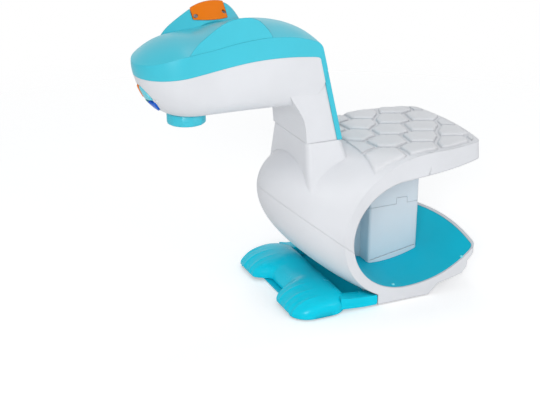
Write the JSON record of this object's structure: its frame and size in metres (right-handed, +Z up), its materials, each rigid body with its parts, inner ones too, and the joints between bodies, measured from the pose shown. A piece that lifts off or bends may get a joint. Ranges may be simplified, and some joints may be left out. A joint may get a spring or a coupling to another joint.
{
  "type": "art projector",
  "caption": "Drawing projector: a long lens head on a leaning neck above a rolled body with open storage, a shelf, a tray and a paper clamp in front.",
  "frame": {"origin": "on the ground, at the middle of the bounding box", "axes": "+Z up, -Y towards the sheet under the lens, +Y towards the tray, X across the width"},
  "size_m": [0.151, 0.3326, 0.2865],
  "materials": {
    "white_plastic": "satin",
    "turquoise": "satin",
    "turquoise_dark": "satin",
    "panel_plastic": "satin",
    "orange_plastic": "satin",
    "light_turquoise": "satin",
    "teal_plastic": "satin",
    "blue_plastic": "satin",
    "black_plastic": "satin",
    "foot_rubber": "matte",
    "pad_silicone": "matte",
    "screw_steel": "satin",
    "contact_metal": "satin",
    "cell_sleeve": "gloss",
    "sink_metal": "satin",
    "board_green": "satin",
    "lens_glass": "polished",
    "panel_glass": "gloss",
    "lamp_lens": "gloss"
  },
  "bodies": {
    "body": {"body_shell": "white_plastic", "base_shell": "white_plastic", "base_plate": "white_plastic", "base_screws": "screw_steel", "rubber_feet": "foot_rubber", "tray_liner": "turquoise_dark", "battery_box": "panel_plastic", "batteries": "cell_sleeve", "battery_contacts": "contact_metal", "power_jack": "black_plastic", "head_shell": "white_plastic", "head_cover": "turquoise", "card_cover": "orange_plastic", "card_cover_screws": "screw_steel", "lens_tube": "black_plastic", "lamp_housing": "black_plastic", "lcd_panel": "panel_glass", "condenser_lens": "lens_glass", "led_board": "board_green", "led_lamp": "lamp_lens", "heat_sink": "sink_metal", "button_pad": "pad_silicone", "button_board": "board_green", "main_board": "board_green", "speaker": "black_plastic", "switch_block": "black_plastic", "clamp_bed": "turquoise_dark", "clamp_pins": "screw_steel"},
    "focus_ring": {"focus_ring": "turquoise"},
    "lens_barrel": {"lens_barrel": "black_plastic", "front_lens": "lens_glass", "rear_lens": "lens_glass"},
    "button_orange": {"button_orange": "orange_plastic"},
    "button_light": {"button_light": "light_turquoise"},
    "button_teal": {"button_teal": "teal_plastic"},
    "button_blue": {"button_blue": "blue_plastic"},
    "power_switch": {"power_switch": "black_plastic"},
    "battery_door": {"battery_door": "panel_plastic"},
    "paper_clamp": {"paper_clamp": "turquoise"}
  },
  "joints": [
    {"name": "focus_turn", "type": "hinge", "parent": "body", "child": "focus_ring", "pos_m": [0, -0.119, 0.19], "axis": [0, 0, 1], "range_deg": [-60, 60]},
    {"name": "focus_travel", "type": "slide", "parent": "body", "child": "lens_barrel", "axis": [0, 0, 1], "range_m": [-0.002, 0.002]},
    {"name": "button_orange_press", "type": "slide", "parent": "body", "child": "button_orange", "axis": [0, 0.8192, 0.5736], "range_m": [0, 0.0012], "stiffness_N_per_m": 600, "springref_m": -0.0005},
    {"name": "button_light_press", "type": "slide", "parent": "body", "child": "button_light", "axis": [0, 0.8192, 0.5736], "range_m": [0, 0.0012], "stiffness_N_per_m": 600, "springref_m": -0.0005},
    {"name": "button_teal_press", "type": "slide", "parent": "body", "child": "button_teal", "axis": [0, 0.8192, 0.5736], "range_m": [0, 0.0012], "stiffness_N_per_m": 600, "springref_m": -0.0005},
    {"name": "button_blue_press", "type": "slide", "parent": "body", "child": "button_blue", "axis": [0, 0.8192, 0.5736], "range_m": [0, 0.0012], "stiffness_N_per_m": 600, "springref_m": -0.0005},
    {"name": "power_slide", "type": "slide", "parent": "body", "child": "power_switch", "axis": [0, -0.2336, 0.9723], "range_m": [0, 0.003]},
    {"name": "door_swing", "type": "hinge", "parent": "body", "child": "battery_door", "pos_m": [0.0098, 0.0673, 0.01798], "axis": [0, 0.9862, 0.1658], "range_deg": [0, 75]},
    {"name": "clamp_lift", "type": "hinge", "parent": "body", "child": "paper_clamp", "pos_m": [0, 0.038, 0.0062], "axis": [-1, 0, 0], "range_deg": [0, 8], "stiffness_Nm_per_rad": 0.6, "springref_deg": -5.73}
  ],
  "couplings": [
    {"joint": "focus_travel", "follows": "focus_turn", "m_per_rad": 0.0019}
  ]
}
